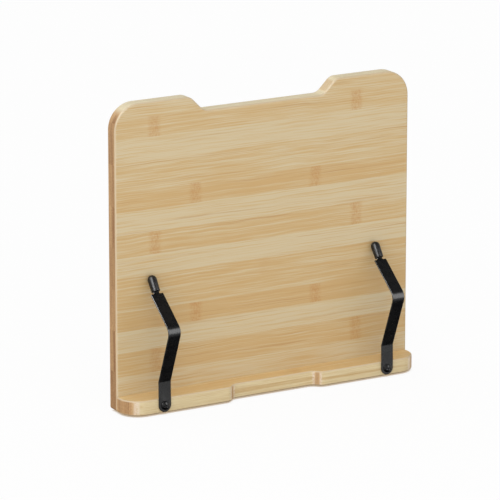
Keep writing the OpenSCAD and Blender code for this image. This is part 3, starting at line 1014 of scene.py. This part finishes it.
class Clip:
    """One page clip's places, from the CAD nodes' places and the strip's own sizes."""

    def __init__(self, side):
        self.side = side
        self.body = side + "_clip"
        self.screw = span(side + "_clip_screw")[2]
        self.middle = self.screw.x
        tilt = Matrix.Rotation(-CLIP_TILT, 4, "Y")
        self.tilt = Matrix.Translation(self.screw) @ tilt @ Matrix.Translation(-self.screw)
        tip_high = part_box(side + "_clip_tip")[1]
        tip_up = (tip_high.z - TIP_RADIUS - self.screw.z) / math.cos(CLIP_TILT)
        self.tip = np.array([tip_high.y - TIP_RADIUS, self.screw.z + tip_up])
        self.tip_axis = np.array([math.sin(TIP_LEAN), math.cos(TIP_LEAN)])

    def path(self):
        """The strip's middle line, and the length at which its shoulders are."""
        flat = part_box(self.side + "_clip_washer")[0].y - SLACK - STRIP_THICKNESS / 2
        start = np.array([flat, self.screw.z])
        lean = np.array([flat, ledge_low.z + STRIP_LEAN_HEIGHT])
        front = np.array([flat - STRIP_REACH, ledge_low.z + STRIP_BEND_HEIGHT])
        neck = self.tip - NECK_LENGTH * self.tip_axis
        end = self.tip - TONGUE_GAP * self.tip_axis
        radii = (STRIP_LEAN_RADIUS, STRIP_BEND_RADIUS, NECK_BEND_RADIUS)
        path = BentPath([start, lean, front, neck, end], radii)
        nearest = np.argmin(np.linalg.norm(path.line - neck, axis=1))
        return path, path.stations[nearest] - SHOULDER_BACK


def flat_strip(path, shoulder):
    """The strip laid flat, as (across, along) points: a round lower end and a narrow tongue."""
    wide, narrow = STRIP_WIDTH / 2, NECK_WIDTH / 2
    half = []
    for t in np.radians(np.arange(4, 90, 4)):
        half.append((wide * math.sin(t), -wide * math.cos(t)))
    half += [(wide, s) for s in path.stations if 0 <= s < shoulder - 2 * STRIP_CORNER]
    side, outer = np.array([wide, 0]), np.array([wide, shoulder])
    inner, ahead = np.array([narrow, shoulder]), np.array([narrow, 1.0])
    half += corner_arc(side, outer, inner, STRIP_CORNER, math.radians(30))
    half += corner_arc(outer, inner, ahead, STRIP_CORNER, math.radians(30))
    half += [(narrow, s) for s in path.stations if s > shoulder + 2 * STRIP_CORNER]
    return counter_clockwise(np.array(half + [(-x, s) for x, s in reversed(half)]))


def make_strip(clip):
    path, shoulder = clip.path()
    outline = flat_strip(path, shoulder)
    rings = []
    for inward, t in edge_steps(STRIP_THICKNESS, STRIP_EDGE, 1):
        ring = []
        for x, s in inset(outline, inward):
            y, z = path.place(s, STRIP_THICKNESS / 2 - t)
            ring.append((clip.middle + x, y, z))
        rings.append(ring)
    bm = bmesh.new()
    skin(bm, rings, ladder=True)
    strip = new_piece(clip.side + "_spring_strip", bm, SPRING_STEEL)
    bore(strip, [(clip.middle, path.line[0][0], clip.screw.z)], (0, 1, 0))
    strip.data.transform(clip.tilt)
    finish_piece(strip, clip.body, "spring_steel_black", clip.side + "_clip_strip")


def make_tip(clip):
    """Round-nosed rubber sleeve with a shallow mouth round the neck."""
    turn = np.linspace(0, math.pi / 2, 13)
    nose = [(TIP_RADIUS * math.cos(t), TIP_RADIUS * math.sin(t)) for t in turn]
    mouth_end = TIP_MOUTH_DEPTH - TIP_BODY
    profile = fillet([
        (0, mouth_end), (TIP_MOUTH, mouth_end), (TIP_MOUTH, -TIP_BODY),
        (TIP_RADIUS - TIP_TAPER, -TIP_BODY), (TIP_RADIUS, 0),
    ], TIP_EDGE)
    bm = bmesh.new()
    place = basis((clip.middle, *clip.tip), (0, *clip.tip_axis))
    lathe(bm, profile[:-1] + nose, clip.tilt @ place)
    cap = new_piece(clip.side + "_rubber_tip", bm, TIP_RUBBER)
    finish_piece(cap, clip.body, "tip_rubber", clip.side + "_clip_tip")


def make_clips():
    for side in SIDES:
        clip = Clip(side)
        make_strip(clip)
        make_tip(clip)
        washer = side + "_clip_washer"
        make_ring(side + "_clip_thin_washer", washer, "stand", 1, SHANK, 0, NYLON, "black_nylon")


# -------- rear support

def make_sleeves():
    """Spacers at the hinge and thin washers at the stay arms' pivots."""
    for side in SIDES:
        for kind, *looks in (
            ("_leg_spacer", PIVOT_SHANK, SPACER_EDGE, SHEET_STEEL, "mechanism_steel_black"),
            ("_stay_washer", SHANK, WASHER_EDGE, NYLON, "black_nylon"),
        ):
            node = side + kind
            make_ring(node + "_ring", node, "leg", 0, *looks)


def make_stay_arm(side):
    """Flat arm with round ends and a hole at each."""
    node = side + "_stay_arm"
    low, high, centre = span(node)
    shape = oval(high.z - low.z, high.y - low.y)
    bm = plate(shape, high.x - low.x, STAY_EDGE, lambda a, b, t: (low.x + t, centre.y + b, centre.z + a))
    arm = new_piece(side + "_stay_bar", bm, SHEET_STEEL)
    ends = (span(side + "_stay_screw")[2], span(side + "_slide_pin")[2])
    bore(arm, [(centre.x, centre.y, end.z) for end in ends], (1, 0, 0))
    finish_piece(arm, side + "_stay", "mechanism_steel_black", node)


def make_slide_pin(side, sign):
    """Riveted pin with a collar and an outer head."""
    node = side + "_slide_pin"
    low, high, centre = span(node)
    inner = low.x if sign > 0 else high.x
    seat = high.x - low.x - PIN_HEAD[1]
    profile = [
        (0, 0), (SHANK, 0), (SHANK, COLLAR_START), (COLLAR_RADIUS, COLLAR_START),
        (COLLAR_RADIUS, COLLAR_END), (SHANK, COLLAR_END), (SHANK, seat),
    ]
    profile += [(r, seat + h) for r, h in dome_profile(*PIN_HEAD)]
    bm = bmesh.new()
    lathe(bm, profile, basis((inner, centre.y, centre.z), (sign, 0, 0)))
    pin = new_piece(side + "_riveted_pin", bm, SCREW_STEEL)
    finish_piece(pin, side + "_stay", "black_screw", node)


def make_stays():
    for side, sign in (("left", -1), ("right", 1)):
        make_stay_arm(side)
        make_slide_pin(side, sign)


def dress_rails():
    """The rails keep their CAD shape and get a fine round-over on every edge."""
    for side in SIDES:
        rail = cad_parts[side + "_rail"]
        weld = rail.modifiers.new("weld", "WELD")
        weld.merge_threshold = RAIL_WELD
        soften(rail, RAIL_EDGE)
        rail.data.materials.clear()
        rail.data.materials.append(SHEET_STEEL)
        for polygon in rail.data.polygons:
            polygon.use_smooth = True


# -------- stage

CAMERA_AZIMUTH = -30.257  # degrees from straight in front, towards the right
CAMERA_ELEVATION = 14.838
CAMERA_DISTANCE = 4.11864
CAMERA_LENS = 303.9
AIM_LEFT = 16.164 * MM  # the camera aims this far left of the middle
AIM_HEIGHT = 142.34 * MM  # and this far above the board's underside
LIGHT_DISTANCE = 2.2
LIGHT_AIM = Vector((0, 0, 0.15))
FLOOR_HALF_SIZE = 8.0
FLOOR_GLOW = 0.93  # part of the floor's look that doesn't depend on light
# Painted contact shadow in the floor's glow: its reach and its colour
CONTACT_REACH = 4 * MM
CONTACT_SHADE = rgb(184, 160, 126)
WHITE = (1.0, 1.0, 1.0, 1.0)

# Brightness of the sky at some elevations in degrees
DOME = ((-90, 0.56), (0, 0.61), (90, 0.98))
DOME_STRENGTH = 1.47
ROOM = ((-90, 0.0), (-45, 0.02), (-20, 0.6), (-8, 0.9), (25, 0.9), (45, 0.25), (60, 0.08), (90, 0.05))

# Soft boxes: azimuth, elevation, width, height, radiance, and whether they show as
# reflections or light matt surfaces
SOFTBOXES = {
    "reflector_right": (30, 13, 1.0, 1.9, 4.1, True),
    "reflector_left": (-58, 41, 1.2, 2.2, 10.0, True),
    "reflector_edge": (-106, 45, 0.8, 0.8, 14.0, True),
    "fill": (-38, 16, 3.0, 2.4, 0.74, False),
}


def direction(azimuth, elevation):
    """Unit vector from the object towards a viewer. Azimuth 0 is straight in front."""
    a, e = math.radians(azimuth), math.radians(elevation)
    return Vector((math.sin(a) * math.cos(e), -math.cos(a) * math.cos(e), math.sin(e)))


def put_on_stage(name, data, aim, towards, distance):
    """An object at a distance from aim, looking back at it."""
    made = bpy.data.objects.new(name, data)
    made.location = aim + towards * distance
    made.rotation_mode = "QUATERNION"
    made.rotation_quaternion = (-towards).to_track_quat("-Z", "Y")
    bpy.context.scene.collection.objects.link(made)
    return made


def make_camera():
    data = bpy.data.cameras.new("camera")
    data.lens = CAMERA_LENS
    data.clip_end = 50
    aim = Vector((-AIM_LEFT, board_low.y, board_low.z + AIM_HEIGHT))
    towards = direction(CAMERA_AZIMUTH, CAMERA_ELEVATION)
    scene = bpy.context.scene
    scene.camera = put_on_stage("camera", data, aim, towards, CAMERA_DISTANCE)
    scene.view_settings.view_transform = "Standard"


def softbox(name, azimuth, elevation, width, height, radiance, reflected):
    """A rectangular light, aimed at the object."""
    data = bpy.data.lights.new(name, "AREA")
    data.shape = "RECTANGLE"
    data.size = width
    data.size_y = height
    data.energy = radiance * math.pi * width * height
    lamp = put_on_stage(name, data, LIGHT_AIM, direction(azimuth, elevation), LIGHT_DISTANCE)
    lamp.visible_diffuse = not reflected
    lamp.visible_glossy = reflected


class World(Nodes):
    """Skies whose brightness depends on the height and the direction looked at."""

    def __init__(self, name):
        world = bpy.data.worlds.new(name)
        bpy.context.scene.world = world
        world.use_nodes = True
        super().__init__(world.node_tree, "OutputWorld")
        self.towards = self.split(self.node("TexCoord").outputs["Generated"])
        elevation = self.math("ARCSINE", self.towards[2])
        heights = {0: elevation, 1: -math.pi / 2, 2: math.pi / 2}
        self.height = self.first_of("MapRange", heights)
        self.path = self.node("LightPath").outputs

    def sky(self, levels, strength=1.0):
        """Background with these levels of brightness."""
        stops = [((elevation + 90) / 180, (level, level, level, 1.0)) for elevation, level in levels]
        return self.first_of("Background", {0: self.ramp(self.height, stops), 1: strength})

    def fading(self, sky, axis, start, end, least):
        """The same sky, fading along an axis to a part of its brightness."""
        inputs = {0: self.towards[axis], 1: start, 2: end, 3: 0.0, 4: 1.0 - least}
        fade = self.first_of("MapRange", inputs)
        dark = self.first_of("Background", {0: (0.0, 0.0, 0.0, 1.0)})
        return self.mix_light(fade, sky, dark)


def make_world():
    """White to the camera. A soft dome, dimmer on the right, lights the object. Shiny parts
    mirror a bright horizon with a dark ceiling and a dark floor, dimmer behind."""
    world = World("studio")
    dome = world.fading(world.sky(DOME, DOME_STRENGTH), 0, -1.0, 1.0, 0.4)
    room = world.fading(world.sky(ROOM), 1, -0.35, 0.35, 0.5)
    seen = world.mix_light(world.path["Is Glossy Ray"], dome, room)
    white = world.first_of("Background", {0: WHITE})
    seen = world.mix_light(world.path["Is Camera Ray"], seen, white)
    world.plug(world.out.inputs[0], seen)


def make_floor():
    """Pale floor with a faint shadow and a painted warm shade where it touches. Shiny parts don't mirror
    it.
    """
    s = Shader("floor")
    diffuse = s.first_of("BsdfDiffuse", {"Color": (0.92, 0.92, 0.92, 1.0)})
    gap = s.node("AmbientOcclusion", {"Distance": CONTACT_REACH}, samples=8).outputs["AO"]
    # Painted shadow: the floor's glow turns to a warm shade close to the object
    glow = s.first_of("Emission", {"Color": s.mix(s.step(gap, 0.1, 0.6), CONTACT_SHADE, WHITE)})
    seen = s.product(s.node("LightPath").outputs["Is Camera Ray"], FLOOR_GLOW)
    s.plug(s.out.inputs[0], s.mix_light(seen, diffuse, glow))
    bm = bmesh.new()
    half = FLOOR_HALF_SIZE
    corners = ((-half, -half, 0), (half, -half, 0), (half, half, 0), (-half, half, 0))
    bm.faces.new([bm.verts.new(corner) for corner in corners])
    floor = new_piece("floor", bm, s.material, smooth=False)
    floor.visible_glossy = False


make_board()
make_ledge()
make_leg()
make_leg_foot()
make_foot_pads()
make_ledge_screws()
make_clip_screws()
make_rail_screws()
make_pivot_screws()
make_clips()
make_sleeves()
make_stays()
dress_rails()

make_world()
make_floor()
for name, values in SOFTBOXES.items():
    softbox(name, *values)
make_camera()
